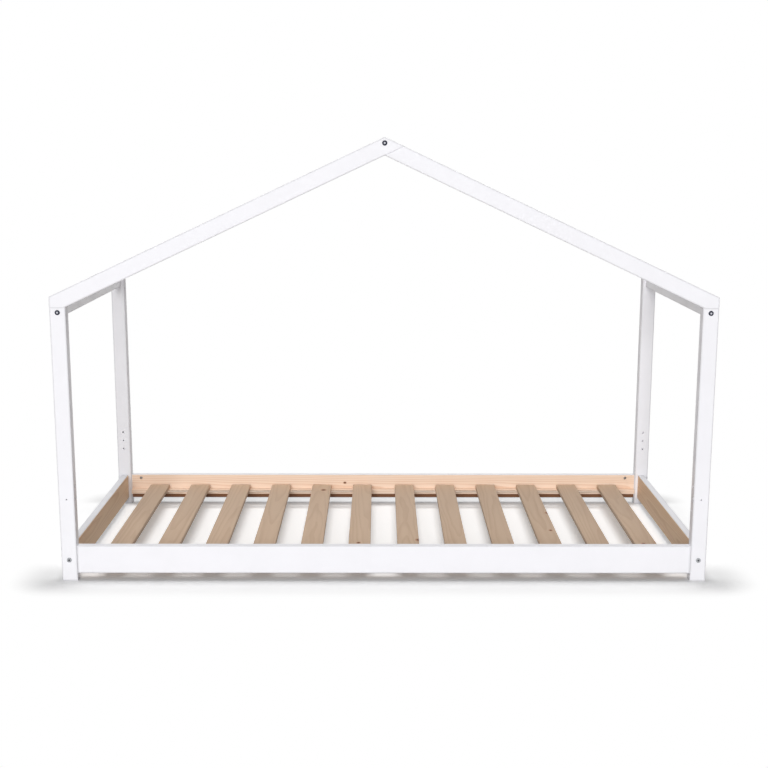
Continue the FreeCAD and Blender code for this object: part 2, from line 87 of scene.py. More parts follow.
def makeCamera(look):
    data = bpy.data.cameras.new("camera")
    data.sensor_width = look["sensorWidth"]
    data.lens = look["focalPixels"] * look["sensorWidth"] / look["imageSide"]
    data.shift_y = (look["axisRow"] - look["imageSide"] / 2) / look["imageSide"]
    camera = bpy.data.objects.new("camera", data)
    bpy.context.scene.collection.objects.link(camera)
    turn = Euler((math.pi / 2 - look["down"], 0, look["turn"])).to_matrix()
    roll = Matrix.Rotation(look["roll"], 3, "Z")
    camera.matrix_world = Matrix.Translation(look["position"]) @ (turn @ roll).to_4x4()
    bpy.context.scene.camera = camera


makeCamera(cameraView)
print("camera placed")


# Short ways to add shader nodes. A given value is either a plain value or another node's output.

def put(tree, kind, inputs=None, **settings):
    made = tree.nodes.new("ShaderNode" + kind)
    for name, setting in settings.items():
        setattr(made, name, setting)
    for key, given in (inputs or {}).items():
        give(tree, made.inputs[key], given)
    return made


def give(tree, socket, given):
    if isinstance(given, bpy.types.NodeSocket):
        tree.links.new(given, socket)
    else:
        socket.default_value = given


def calc(tree, operation, *values):
    return put(tree, "Math", dict(enumerate(values)), operation=operation).outputs[0]


def vectorCalc(tree, operation, *values):
    made = put(tree, "VectorMath", dict(enumerate(values)), operation=operation)
    return made.outputs["Value" if operation == "LENGTH" else "Vector"]


def smallest(tree, values):
    least = values[0]
    for value in values[1:]:
        least = calc(tree, "MINIMUM", least, value)
    return least


def clamped(tree, value):
    return put(tree, "Clamp", {0: value}).outputs[0]


def split(tree, vector):
    return put(tree, "SeparateXYZ", {0: vector}).outputs


def join(tree, *parts):
    return put(tree, "CombineXYZ", dict(enumerate(parts))).outputs[0]


def objectPlace(tree):
    return put(tree, "TexCoord").outputs["Object"]


def noise(tree, point, scale, detail=2.0, roughness=0.5):
    inputs = {"Vector": point, "Scale": scale, "Detail": detail, "Roughness": roughness}
    return put(tree, "TexNoise", inputs).outputs["Fac"]


def stretchedNoise(tree, point, waves, detail, roughness):
    return noise(tree, vectorCalc(tree, "MULTIPLY", point, waves), 1.0, detail, roughness)


def remap(tree, given, low, high, toLow=0.0, toHigh=1.0):
    inputs = {"Value": given, "From Min": low, "From Max": high, "To Min": toLow, "To Max": toHigh}
    return put(tree, "MapRange", inputs, interpolation_type="SMOOTHSTEP").outputs[0]


def blendColours(tree, share, first, second):
    # A Mix node has its colours in sockets 6 and 7, and the blend comes out of its third output.
    made = put(tree, "Mix", data_type="RGBA")
    give(tree, made.inputs[0], share)
    give(tree, made.inputs[6], (*first, 1) if isinstance(first, tuple) else first)
    give(tree, made.inputs[7], (*second, 1) if isinstance(second, tuple) else second)
    return made.outputs[2]


def blendValues(tree, share, first, second):
    return put(tree, "Mix", {0: share, 2: first, 3: second}, data_type="FLOAT").outputs[0]


def newMaterial(name):
    material = bpy.data.materials.new(name)
    material.use_nodes = True
    tree = material.node_tree
    return material, tree, tree.nodes["Principled BSDF"]


def raiseSurface(tree, shader, height, strength, distance):
    inputs = {"Height": height, "Strength": strength, "Distance": distance}
    give(tree, shader.inputs["Normal"], put(tree, "Bump", inputs).outputs[0])


# Wood. The figure is worked out along u, the run of the grain, v across it and w through the board.

pineLook = {
    "light": (0.91, 0.72, 0.58),
    "dark": (0.75, 0.50, 0.345),
    "stain": (0.215, 0.098, 0.048),   # painted shadow of the batten, on a long rail's raw face below it
    "ringWidth": 0.0042,
    "pith": (0.012, -0.055),   # the heart of the tree from the board's middle, across and through
    "taper": 0.010,            # how far a ring drifts over a metre
    "wander": 0.006,           # how far slow waves bend a ring
    "lateWood": 0.55,          # how much darker: the late wood, the streaks and the fibres
    "streaks": 0.30,
    "fibres": 0.20,
    "roughness": 0.62,
}
endPineLook = dict(pineLook, light=(0.85, 0.62, 0.425), dark=(0.70, 0.46, 0.285), streaks=0.22)
slatLook = {
    "light": (0.575, 0.42, 0.30),
    "dark": (0.435, 0.29, 0.195),
    "tone": (0.06, 0.5, 5.4),   # how the tone goes up and down from slat to slat: share, step, start
    "ringWidth": 0.0055,
    "pith": (0.010, -0.070),
    "taper": 0.012,
    "wander": 0.008,
    "lateWood": 0.30,
    "streaks": 0.42,
    "fibres": 0.22,
    "roughness": 0.60,
}
beechLook = {
    "light": (0.66, 0.47, 0.32),
    "dark": (0.50, 0.32, 0.20),
    "ringWidth": 0.0018,
    "pith": (0.0, -0.05),
    "taper": 0.004,
    "wander": 0.001,
    "lateWood": 0.20,
    "streaks": 0.20,
    "fibres": 0.35,
    "roughness": 0.55,
}
grainDetail = {
    # noises: waves per metre along u, v and w, then detail and roughness
    "slow": ((2.2, 14, 14), 2.0, 0.5),
    "streak": ((0.9, 55, 30), 3.0, 0.55),
    "fibre": ((22, 900, 900), 2.0, 0.6),
    "seedStep": (3.7, 1.3, 0.7),   # how far apart two boards are cut from the noise
    "pithStray": (0.02, 2.4),      # the heart's way to the side from board to board: reach and step
    "lateRise": (0.35, 0.92),      # within a ring, where the late wood starts and is full
    "lateFall": (1.0, 0.94),
    "streakMiddle": 0.42,
    "fibreMiddle": 0.45,
    "relief": (0.5, -0.3),         # height of the fibres and of the late wood
    "bump": (0.35, 0.0004),        # strength and distance
    "gloss": 0.35,
}
knotLook = {
    "heart": (0.10, 0.036, 0.018),
    "heartReach": (1.0, 0.7),      # in knot radii, where the tone starts and is full
    "halo": (0.38, 0.17, 0.085),
    "haloReach": (2.0, 0.8),
    "length": 1.5,                 # a knot is longer along the grain
    "bend": 1.6,                   # how far the rings go round it, in knot radii
    "uneven": 0.8,                 # how far its outline strays, in knot radii
    "unevenScale": 1.3,
}
# The axes that u, v and w lie on. With FaceX or FaceY, the board's wide face looks along that axis.
grainOrder = {"x": ("X", "Y", "Z"), "y": ("Y", "X", "Z"), "z": ("Z", "X", "Y"),
              "xFaceY": ("X", "Z", "Y"), "yFaceX": ("Y", "Z", "X")}


def grainPoint(tree, middle, run, slope=0.0):
    # Object coordinates from the piece's middle, turned by the slope about Y, in the order u, v, w. A
    # piece that slopes is placed as if it were on the right, so that the point of the roof mirrors.
    place = objectPlace(tree)
    if slope:
        place = vectorCalc(tree, "ABSOLUTE", place)
    place = vectorCalc(tree, "SUBTRACT", place, tuple(middle))
    turned = put(tree, "Mapping", {"Vector": place, "Rotation": (0, slope, 0)}).outputs[0]
    parts = split(tree, turned)
    return join(tree, *[parts[axis] for axis in grainOrder[run]])


def seeded(tree, point, seed):
    return vectorCalc(tree, "ADD", point, tuple(seed * step for step in grainDetail["seedStep"]))


def knotShare(tree, point, knot):
    # Distance from the knot's centre over its radius, shorter along the grain, plus uneven noise.
    u, v, radius = knot
    away = vectorCalc(tree, "SUBTRACT", point, (u, v, 0))
    away = vectorCalc(tree, "MULTIPLY", away, (1 / (radius * knotLook["length"]), 1 / radius, 0))
    stray = calc(tree, "SUBTRACT", noise(tree, away, knotLook["unevenScale"]), 0.5)
    stray = calc(tree, "MULTIPLY", stray, knotLook["uneven"])
    return calc(tree, "ADD", vectorCalc(tree, "LENGTH", away), stray)


def ringShare(tree, look, point, shifted, seed, knots, shares):
    # Distance from the pith, drifting along u, bent by slow noise and by each knot, cut into ring
    # widths: 1 on the thin line of late wood that ends a ring.
    u, v, w = split(tree, point)
    across, through = look["pith"]
    reach, step = grainDetail["pithStray"]
    v = calc(tree, "SUBTRACT", v, across + reach * math.sin(seed * step))
    w = calc(tree, "SUBTRACT", w, through)
    squares = calc(tree, "ADD", calc(tree, "MULTIPLY", v, v), calc(tree, "MULTIPLY", w, w))
    distance = calc(tree, "SQRT", squares)
    slow = stretchedNoise(tree, shifted, *grainDetail["slow"])
    distance = calc(tree, "MULTIPLY_ADD", slow, look["wander"] * 2, distance)
    distance = calc(tree, "MULTIPLY_ADD", u, look["taper"] * (1 if seed % 2 else -1), distance)
    for share, knot in zip(shares, knots):
        # The ring goes out by the bend over (1 + share squared).
        spread = calc(tree, "ADD", 1.0, calc(tree, "MULTIPLY", share, share))
        bend = calc(tree, "DIVIDE", knot[2] * knotLook["bend"], spread)
        distance = calc(tree, "ADD", distance, bend)
    ring = calc(tree, "FRACT", calc(tree, "DIVIDE", distance, look["ringWidth"]))
    rise = remap(tree, ring, *grainDetail["lateRise"])
    return calc(tree, "MULTIPLY", rise, remap(tree, ring, *grainDetail["lateFall"]))


def woodFigure(tree, look, point, seed, knots=()):
    # The tone goes from light to dark with the rings' late wood, the streaks and the fibres. Each knot
    # lays its halo and its heart over it. The fibres stand up and the late wood lies lower.
    shifted = seeded(tree, point, seed)
    shares = [knotShare(tree, point, knot) for knot in knots]
    late = ringShare(tree, look, point, shifted, seed, knots, shares)
    streak = stretchedNoise(tree, shifted, *grainDetail["streak"])
    fibre = stretchedNoise(tree, shifted, *grainDetail["fibre"])
    tone = calc(tree, "MULTIPLY", late, look["lateWood"])
    streak = calc(tree, "SUBTRACT", streak, grainDetail["streakMiddle"])
    tone = calc(tree, "MULTIPLY_ADD", streak, look["streaks"] * 2, tone)
    fibreTone = calc(tree, "SUBTRACT", fibre, grainDetail["fibreMiddle"])
    tone = calc(tree, "MULTIPLY_ADD", fibreTone, look["fibres"], tone)
    colour = blendColours(tree, clamped(tree, tone), look["light"], look["dark"])
    for share in shares:
        for part in ("halo", "heart"):
            reach = remap(tree, share, *knotLook[part + "Reach"])
            colour = blendColours(tree, reach, colour, knotLook[part])
    fibreHeight, lateHeight = grainDetail["relief"]
    height = calc(tree, "MULTIPLY_ADD", fibre, fibreHeight, calc(tree, "MULTIPLY", late, lateHeight))
    return colour, height


def toned(look, number):
    # One board's tone: its two colours times 1 plus the share times sin(step times number plus start).
    share, step, start = look["tone"]
    level = 1 + share * math.sin(step * number + start)
    light, dark = (tuple(part * level for part in look[tone]) for tone in ("light", "dark"))
    return dict(look, light=light, dark=dark)


def rawTimber(name, look, middle, run, seed, knots=()):
    material, tree, shader = newMaterial(name)
    colour, height = woodFigure(tree, look, grainPoint(tree, middle, run), seed, knots)
    give(tree, shader.inputs["Base Color"], colour)
    shader.inputs["Roughness"].default_value = look["roughness"]
    shader.inputs["Specular IOR Level"].default_value = grainDetail["gloss"]
    raiseSurface(tree, shader, height, *grainDetail["bump"])
    return material


# Satin paint over timber: a faint roller stipple, with the grain just showing through, and painted shade
# along every edge. The rails' inner faces are raw wood, and the paint comes a little way round their
# edges.

paintLook = {
    "colour": (0.876, 0.869, 0.902),
    "thin": (0.86, 0.853, 0.884),    # where the coat is thinner
    "edgeShade": (0.72, 0.715, 0.74),    # painted shade along the edges
    "edgeShadeReach": (0.0055, 0.0015),  # from the edge, where that painted shade starts and is full
    "roughness": (0.34, 0.46),
    "stipple": (420.0, 2.0, 0.6),    # noises: waves per metre, detail and roughness
    "cloud": (9.0, 3.0, 0.6),
    "grain": ((6, 260, 260), 2.0, 0.5),
    "thinCloud": (0.3, 0.75),        # where in the cloud the thin tone starts and is full
    "dullCloud": (0.3, 0.7),
    "relief": (0.8, 0.35),           # height of the grain and of the stipple
    "bump": (0.12, 0.0004),          # strength and distance
    "skin": 0.0011,                  # how deep the brush reaches round an edge
    "skinBlend": 0.0001,
    "ragged": 0.0005,                # how far that line strays
    "raggedScale": 120.0,
    "stainBlend": 0.0005,
}


def coatShare(tree, low, high, faces):
    # 1 on the painted skin: the least distance inside the box from any painted face, with a ragged edge.
    place = objectPlace(tree)
    parts = split(tree, place)
    depths = []
    for axis, side in faces:
        edge = (high if side > 0 else low)[axis]
        depths.append(calc(tree, "MULTIPLY", calc(tree, "SUBTRACT", parts[axis], edge), -side))
    ragged = calc(tree, "SUBTRACT", noise(tree, place, paintLook["raggedScale"]), 0.5)
    least = calc(tree, "MULTIPLY_ADD", ragged, paintLook["ragged"], smallest(tree, depths))
    skin, blend = paintLook["skin"], paintLook["skinBlend"]
    return remap(tree, least, skin + blend, skin - blend)


def edgeShadeShare(tree, point, halves):
    # Painted shade along the edges, by the distance from the nearest edge: |u|, |v| and |w| are short of
    # their half sizes by three depths, and the distance is the least length that two of those depths
    # make.
    inside = vectorCalc(tree, "SUBTRACT", halves, vectorCalc(tree, "ABSOLUTE", point))
    pairs = [vectorCalc(tree, "MULTIPLY", inside, pair) for pair in ((0, 1, 1), (1, 0, 1), (1, 1, 0))]
    least = smallest(tree, [vectorCalc(tree, "LENGTH", pair) for pair in pairs])
    return remap(tree, least, *paintLook["edgeShadeReach"])


def paintCoat(tree, point, edges, halves, seed):
    # The coat thins in soft clouds and takes a painted shade along its edges; the grain and the stipple
    # raise it.
    place = objectPlace(tree)
    stipple = noise(tree, place, *paintLook["stipple"])
    cloud = noise(tree, place, *paintLook["cloud"])
    grain = stretchedNoise(tree, seeded(tree, point, seed), *paintLook["grain"])
    thin = remap(tree, cloud, *paintLook["thinCloud"])
    colour = blendColours(tree, thin, paintLook["colour"], paintLook["thin"])
    colour = blendColours(tree, edgeShadeShare(tree, edges, halves), colour, paintLook["edgeShade"])
    roughness = remap(tree, cloud, *paintLook["dullCloud"], *paintLook["roughness"])
    grainHeight, stippleHeight = paintLook["relief"]
    stipple = calc(tree, "MULTIPLY", stipple, stippleHeight)
    return colour, roughness, calc(tree, "MULTIPLY_ADD", grain, grainHeight, stipple)


def belowBatten(tree, wood, stain):
    # Painted shadow of the batten: everything lower than the underside of the battens takes a dark
    # colour.
    low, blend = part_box("batten_rear")[0].z, paintLook["stainBlend"]
    under = remap(tree, split(tree, objectPlace(tree))[2], low + blend, low - blend)
    return blendColours(tree, under, wood, stain)


def paintedTimber(name, timber, seed):
    material, tree, shader = newMaterial("painted_" + name)
    point = grainPoint(tree, timber["middle"], timber["run"], timber["slope"])
    edges = point
    if timber["slope"]:
        # For the painted edge shade: the roof's timbers are cut upright at their ends, so the depth from
        # there is along X.
        upright = split(tree, objectPlace(tree))[0]
        edges = join(tree, upright, *split(tree, point)[1:3])
    colour, roughness, height = paintCoat(tree, point, edges, timber["halves"], seed)
    if "rawFace" in timber:
        bare = timber["bare"]
        painted = [face for face in allFaces if face != timber["rawFace"]]
        coat = coatShare(tree, timber["low"], timber["high"], painted)
        wood, grain = woodFigure(tree, bare, point, seed, timber["knots"])
        # A long rail's raw face below its batten takes a painted shadow.
        if timber["run"] == "xFaceY":
            wood = belowBatten(tree, wood, bare["stain"])
        colour = blendColours(tree, coat, wood, colour)
        roughness = blendValues(tree, coat, bare["roughness"], roughness)
        height = blendValues(tree, coat, grain, height)
    give(tree, shader.inputs["Base Color"], colour)
    give(tree, shader.inputs["Roughness"], roughness)
    raiseSurface(tree, shader, height, *paintLook["bump"])
    return material


# The painted timbers: which way each kind runs, and the rails' raw faces as an axis and a side.

allFaces = [(axis, side) for axis in range(3) for side in (-1, 1)]
timberRuns = {"post": "z", "rafter": "xFaceY", "rail": "xFaceY", "side_rail": "yFaceX",
              "eave_beam": "yFaceX", "ridge_beam": "yFaceX"}
rawFaces = {"rail_front": (1, 1), "rail_rear": (1, -1),
            "side_rail_left": (0, 1), "side_rail_right": (0, -1)}
railKnots = {"rail_rear": [(-0.144, 0.013, 0.0028)]}   # along, across, radius


def rafterRun(middle):
    # A rafter's middle, taken on the right, the slope of the roof and half a rafter's face. The roof
    # rises from the eaves to its point over half the bed. The face is the upright height of the roof
    # over the post's inner side, times the cosine of the slope.
    postLow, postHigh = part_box("post_front_left")
    point = cadBox[1][2]
    steep = (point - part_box("eave_beam_left")[1].z) / -postLow.x
    level = math.cos(math.atan(steep))
    face = (point + postHigh.x * steep - postHigh.z) * level
    drop = abs(middle.x) * steep + face / 2 / level
    return (abs(middle.x), abs(middle.y), point - drop), -math.atan(steep), face / 2


def timberFacts(name, kind):
    low, high, middle, half = nodeBox(name)
    run = timberRuns[kind]
    timber = {"run": run, "low": low, "high": high, "middle": middle, "slope": 0.0,
              "halves": tuple(half["XYZ".index(axis)] for axis in grainOrder[run])}
    if kind == "rafter":
        timber["middle"], timber["slope"], face = rafterRun(middle)
        timber["halves"] = (-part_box("post_front_left")[0].x, face, timber["halves"][2])
    if name in rawFaces:
        timber["rawFace"] = rawFaces[name]
        timber["bare"] = endPineLook if kind == "side_rail" else pineLook
        timber["knots"] = railKnots.get(name, ())
    return timber


def paintTimber():
    for seed, name in enumerate(sorted(nodes)):
        fitting = name.endswith(("nuts", "dowels", "bolts"))
        kind = next((kind for kind in timberRuns if name.startswith(kind) and not fitting), None)
        if kind:
            dress(name, paintedTimber(name, timberFacts(name, kind), seed))


paintTimber()
print("timber painted")


# Battens and dowels keep their raw wood.

firstSeeds = {"batten": 31, "dowel": 41}
dowelRuns = {"side_rail_dowels": "y", "rail_dowels": "x", "seat_dowels": "z", "eave_dowels": "y",
             "ridge_dowels": "y", "apex_dowels": "z"}


def finishRawTimber():
    for seed, name in enumerate(("batten_front", "batten_rear"), firstSeeds["batten"]):
        dress(name, rawTimber("raw_" + name, pineLook, nodeBox(name)[2], "xFaceY", seed))
    for seed, (name, run) in enumerate(dowelRuns.items(), firstSeeds["dowel"]):
        dress(name, rawTimber("raw_" + name, beechLook, (0, 0, 0), run, seed))


finishRawTimber()
print("raw timber finished")


# New meshes are grids of points, rows by columns, gathered into one shape and made into one piece.

sharpTurn = math.radians(35)   # between two faces, from which their edge is drawn sharp


def newShape():
    return {"points": [], "faces": [], "count": 0}


def addGrid(shape, points):
    # Quads between neighbouring rows and columns. The columns close round, and both end rows close off.
    rows, columns = points.shape[:2]
    r, c = np.meshgrid(np.arange(rows - 1), np.arange(columns), indexing="ij")
    following = (c + 1) % columns
    quads = np.stack([r * columns + c, r * columns + following, (r + 1) * columns + following,
                      (r + 1) * columns + c], axis=-1).reshape(-1, 4)
    first = np.arange(columns)[::-1]
    last = np.arange(columns) + (rows - 1) * columns
    for faces in (quads, first[None, :], last[None, :]):
        shape["faces"] += (faces + shape["count"]).tolist()
    shape["points"].append(points.reshape(-1, 3))
    shape["count"] += rows * columns


def sharpEdges(mesh):
    # An edge is sharp where the two faces beside it turn by more than the limit.
    normals = np.zeros(len(mesh.polygons) * 3)
    mesh.polygon_normals.foreach_get("vector", normals)
    normals = normals.reshape(-1, 3)
    edges = np.zeros(len(mesh.loops), int)
    mesh.loops.foreach_get("edge_index", edges)
    totals = np.zeros(len(mesh.polygons), int)
    mesh.polygons.foreach_get("loop_total", totals)
    owners = np.repeat(np.arange(len(totals)), totals)
    order = np.argsort(edges, kind="stable")
    edges, owners = edges[order], owners[order]
    pair = np.flatnonzero(edges[1:] == edges[:-1])
    turn = (normals[owners[pair]] * normals[owners[pair + 1]]).sum(1)
    sharp = np.zeros(len(mesh.edges), bool)
    sharp[edges[pair]] = turn < math.cos(sharpTurn)
    return sharp


def finishPiece(name, shape, material, replaced):
    mesh = bpy.data.meshes.new(name)
    mesh.from_pydata(np.concatenate(shape["points"]), [], shape["faces"])
    mesh.validate()
    mesh.materials.append(material)
    piece = bpy.data.objects.new(name, mesh)
    bpy.context.scene.collection.objects.link(piece)
    mesh.shade_smooth()
    marks = mesh.attributes.get("sharp_edge")
    marks = marks or mesh.attributes.new("sharp_edge", "BOOLEAN", "EDGE")
    marks.data.foreach_set("value", sharpEdges(mesh))
    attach(piece, "root")
    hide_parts(replaced)
    return piece


# Slats: planed boards with softly sanded edges. Most are plain; a few have small dark knots.

slatShape = {
    "edgeRound": 0.0022,
    "cornerSteps": 4,
    "endCorner": 0.02,   # the share of a corner's radius that is left at the very end
    # slat: along, across and radius of each knot
    "knots": {5: [(0.371, 0.009, 0.0065)], 6: [(-0.323, -0.003, 0.0045)], 7: [(-0.289, 0.034, 0.007)],
              10: [(0.047, 0.035, 0.007), (-0.175, 0.018, 0.0042)],
              12: [(-0.311, 0.039, 0.006), (-0.333, -0.008, 0.0048)]},
}


def roundedOutline(halfWidth, halfHeight, radius, steps):
    # A rectangle for each row, with quarter-circle corners, anticlockwise: x and z are a corner's middle
    # plus radius times cos and sin. The three sizes have one value for each row.
    turns = np.arange(4)[:, None] * math.pi / 2 + np.linspace(0, math.pi / 2, steps)
    halfWidth, halfHeight, radius = (size[:, None, None] for size in (halfWidth, halfHeight, radius))
    x = np.array([1, -1, -1, 1])[:, None] * (halfWidth - radius) + radius * np.cos(turns)
    z = np.array([1, 1, -1, -1])[:, None] * (halfHeight - radius) + radius * np.sin(turns)
    return np.stack([x, z], -1).reshape(len(radius), -1, 2)


def boardGrid(look, middle, half):
    # A rounded outline carried along Y. Near an end the station goes out by radius times sin and the
    # outline draws in by radius times (1 - cos), so that the end edges are rounded too.
    radius, steps = look["edgeRound"], look["cornerSteps"]
    turn = np.linspace(0, math.pi / 2, steps)
    out = half.y - radius + radius * np.sin(turn)
    drawn = radius * (1 - np.cos(turn))
    stations = np.concatenate([-out[::-1], out])
    inset = np.concatenate([drawn[::-1], drawn])
    corner = np.maximum(radius - inset, radius * look["endCorner"])
    outline = roundedOutline(half.x - inset, half.z - inset, corner, steps)
    y = np.broadcast_to(stations[:, None], outline.shape[:2])
    return np.stack([outline[..., 0], y, outline[..., 1]], -1) + np.array(middle)


def makeSlats(look):
    for name in sorted(n for n in nodes if n.startswith("slat_")):
        number = int(name[-2:])
        middle, half = nodeBox(name)[2:]
        shape = newShape()
        addGrid(shape, boardGrid(look, middle, half))
        wood = rawTimber("slat_wood_%02d" % number, toned(slatLook, number), middle, "y", number,
                         look["knots"].get(number, ()))
        finishPiece("planed_" + name, shape, wood, name)


makeSlats(slatShape)
print("slats made")


# Metal: bright zinc plate and blackened steel.

# The key colour lies in the hexagon socket: a painted shade on zinc, a painted highlight on blackened
# steel.
zincLook = {"colour": (0.50, 0.51, 0.53), "worn": (0.36, 0.37, 0.39), "key": (0.09, 0.09, 0.10),
            "roughness": (0.28, 0.45)}
darkLook = {"colour": (0.030, 0.033, 0.052), "worn": (0.065, 0.068, 0.095), "key": (0.74, 0.75, 0.80),
            "roughness": (0.30, 0.45)}
metalDetail = {
    "cloud": (400.0, 3.0, 0.6),   # noises: waves per metre, detail and roughness
    "fine": (3000.0, 2.0, 0.5),
    "wornCloud": (0.35, 0.7),     # where in the cloud the worn tone starts and is full
    "dullCloud": (0.3, 0.7),
    "bump": (0.1, 0.0002),        # strength and distance
}


def metal(name, look):
    # The attribute says where the hexagon key goes in: there the zinc takes a painted shade and the
    # blackened steel a painted highlight.
    material, tree, shader = newMaterial(name)
    place = objectPlace(tree)
    cloud = noise(tree, place, *metalDetail["cloud"])
    fine = noise(tree, place, *metalDetail["fine"])
    worn = remap(tree, cloud, *metalDetail["wornCloud"])
    colour = blendColours(tree, worn, look["colour"], look["worn"])
    keyed = put(tree, "Attribute", attribute_name="keyed").outputs["Fac"]
    give(tree, shader.inputs["Base Color"], blendColours(tree, keyed, colour, look["key"]))
    roughness = remap(tree, cloud, *metalDetail["dullCloud"], *look["roughness"])
    give(tree, shader.inputs["Roughness"], roughness)
    shader.inputs["Metallic"].default_value = 1.0
    raiseSurface(tree, shader, fine, *metalDetail["bump"])
    return material


zinc = metal("zinc_plate", zincLook)
darkSteel = metal("blackened_steel", darkLook)


# Bolts: a low domed head with a hexagon socket, on a plain shank.

boltShape = {
    "headRadius": 0.0075,
    "headThick": 0.003,
    "dome": 0.0004,
    "bevel": 0.0009,
    "bevelSteps": 5,
    "flatRing": 0.0012,        # how far the flat round the socket reaches
    "mouthBevel": 0.0003,
    "socketApothem": 0.002,
    "socketDepth": 0.002,
    "shankRadius": 0.003,
    "tipBevel": 0.0005,
    "pastPost": 0.044,         # how far the shank goes on past the post
    "angles": 48,
    "keyedRows": 3,            # the last rows of the profile, six-sided, where the key goes in
    # group: metal, slot and the axis that its bolts point along
    "groups": {"foot_bolts": (zinc, "zinc", 1), "rail_bolts": (zinc, "zinc", 0),
               "eave_bolts": (darkSteel, "dark_steel", 1), "apex_bolts": (darkSteel, "dark_steel", 1)},
}


def turned(radii, heights, angles, sixSided):
    # A profile spun round the upright: x = radius cos angle, y = radius sin angle. On its last rows the
    # radius follows a hexagon: apothem over the cosine of the angle from the nearest flat.
    angle = np.arange(angles) * 2 * math.pi / angles
    radius = np.repeat(np.array(radii, float)[:, None], angles, axis=1)
    fromFlat = (angle + math.pi / 6) % (math.pi / 3) - math.pi / 6
    radius[-sixSided:] = radius[-sixSided:] / np.cos(fromFlat)
    height = np.repeat(np.array(heights, float)[:, None], angles, axis=1)
    return np.stack([radius * np.cos(angle), radius * np.sin(angle), height], -1)


def boltGrid(look, length):
    # From the shank's tip up and out round the head, then down into the hexagon socket.
    head, thick, bevel = look["headRadius"], look["headThick"], look["bevel"]
    shank, tip = look["shankRadius"], look["tipBevel"]
    socket, mouth = look["socketApothem"], look["mouthBevel"]
    turn = np.linspace(0, math.pi / 2, look["bevelSteps"])
    rimRadii = head - bevel + bevel * np.cos(turn)
    rimHeights = thick - look["dome"] - bevel + bevel * np.sin(turn)
    radii = [shank - tip, shank, shank, head, *rimRadii, socket + look["flatRing"], socket + mouth,
             socket, socket]
    heights = [-length, -length + tip, 0, 0, *rimHeights, thick, thick, thick - mouth,
               thick - look["socketDepth"]]
    return turned(radii, heights, look["angles"], look["keyedRows"])


def boltSpots(look, name, axis):
    # The heads stand on the timber's outer faces, so their places are the group's box less the head.
    low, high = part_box(name)
    half = (high - low) / 2
    z = (low.z + high.z) / 2
    inset = [half.z, half.z]
    inset[axis] = look["headThick"]
    ends = (-1,) if name == "apex_bolts" else (-1, 1)
    return [((end * (half.x - inset[0]), side * (half.y - inset[1]), z),
             (0, side, 0) if axis == 1 else (end, 0, 0)) for side in (-1, 1) for end in ends]


def pointed(axis):
    # The rotation that takes the upright to an axis, as a matrix of its three directions in columns.
    return np.array(Vector(axis).to_track_quat("Z", "Y").to_matrix())


def makeBolts(look):
    postLow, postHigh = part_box("post_front_left")
    for name, (material, slot, axis) in look["groups"].items():
        grid = boltGrid(look, postHigh[axis] - postLow[axis] + look["pastPost"])
        spots = boltSpots(look, name, axis)
        shape = newShape()
        for position, out in spots:
            addGrid(shape, grid @ pointed(out).T + np.array(position))
        bolts = finishPiece("machined_" + name, shape, material, name)
        keyed = np.zeros(grid.shape[:2])
        keyed[-look["keyedRows"]:] = 1
        marks = bolts.data.attributes.new("keyed", "FLOAT", "POINT")
        marks.data.foreach_set("value", np.tile(keyed.ravel(), len(spots)))


makeBolts(boltShape)
print("bolts made")


# The other fittings keep their solids and take the zinc.

zincFittings = ("side_rail_nuts", "eave_nuts", "ridge_nuts", "rail_nuts", "batten_screws", "tape_staples")
for fitting in zincFittings:
    dress(fitting, zinc)
print("fittings finished")


# Webbing under the slats, in a plain weave.

webbingShape = {
    "pitch": 0.0016,           # one thread to the next
    "relief": 0.00012,
    "rowStep": 0.0008,
    "columns": 22,
}
webbingLook = {
    "thread": (0.74, 0.60, 0.49),
    "shade": (0.50, 0.38, 0.29),
    "fuzz": (1800.0, 3.0, 0.6),     # waves per metre, detail and roughness
    "tone": (-0.3, 0.5, 0.1),       # shade from the weave and from the fuzz, and the least shade
    "fuzzHeight": 0.4,
    "roughness": 0.85,
    "sheen": 0.2,
    "bump": (0.5, 0.0003),          # strength and distance
}


def webbing(look):
    # The weave is sin(x) sin(y), with one wave for each thread.
    material, tree, shader = newMaterial("woven_webbing")
    place = objectPlace(tree)
    wave = 2 * math.pi / webbingShape["pitch"]
    along, across = (calc(tree, "SINE", calc(tree, "MULTIPLY", part, wave))
                     for part in split(tree, place)[:2])
    weave = calc(tree, "MULTIPLY", along, across)
    fuzz = noise(tree, place, *look["fuzz"])
    weaveTone, fuzzTone, least = look["tone"]
    tone = calc(tree, "MULTIPLY_ADD", fuzz, fuzzTone, least)
    tone = clamped(tree, calc(tree, "MULTIPLY_ADD", weave, weaveTone, tone))
    give(tree, shader.inputs["Base Color"], blendColours(tree, tone, look["thread"], look["shade"]))
    shader.inputs["Roughness"].default_value = look["roughness"]
    shader.inputs["Sheen Weight"].default_value = look["sheen"]
    height = calc(tree, "MULTIPLY_ADD", fuzz, look["fuzzHeight"], weave)
    raiseSurface(tree, shader, height, *look["bump"])
    return material


def tapeGrid(look, low, high, middle, half):
    # The outline of a thin strip carried along X. Each face sinks from the flat by relief times
    # (1 - sin(u) sin(v)), with half a wave for each thread.
    stations = np.linspace(low.x, high.x, int((high.x - low.x) / look["rowStep"]) + 1)
    side = np.linspace(-half.y, half.y, look["columns"])
    outline = np.concatenate([np.stack([side, np.full_like(side, -half.z)], -1),
                              np.stack([side[::-1], np.full_like(side, half.z)], -1)])
    wave = math.pi / look["pitch"]
    weave = np.sin(stations[:, None] * wave) * np.sin(outline[None, :, 0] * wave)
    depth = look["relief"] * (weave - 1) * np.sign(outline[:, 1])[None, :]
    return np.stack([np.broadcast_to(stations[:, None], weave.shape),
                     np.broadcast_to(outline[None, :, 0], weave.shape) + middle.y,
                     outline[None, :, 1] + depth + middle.z], -1)


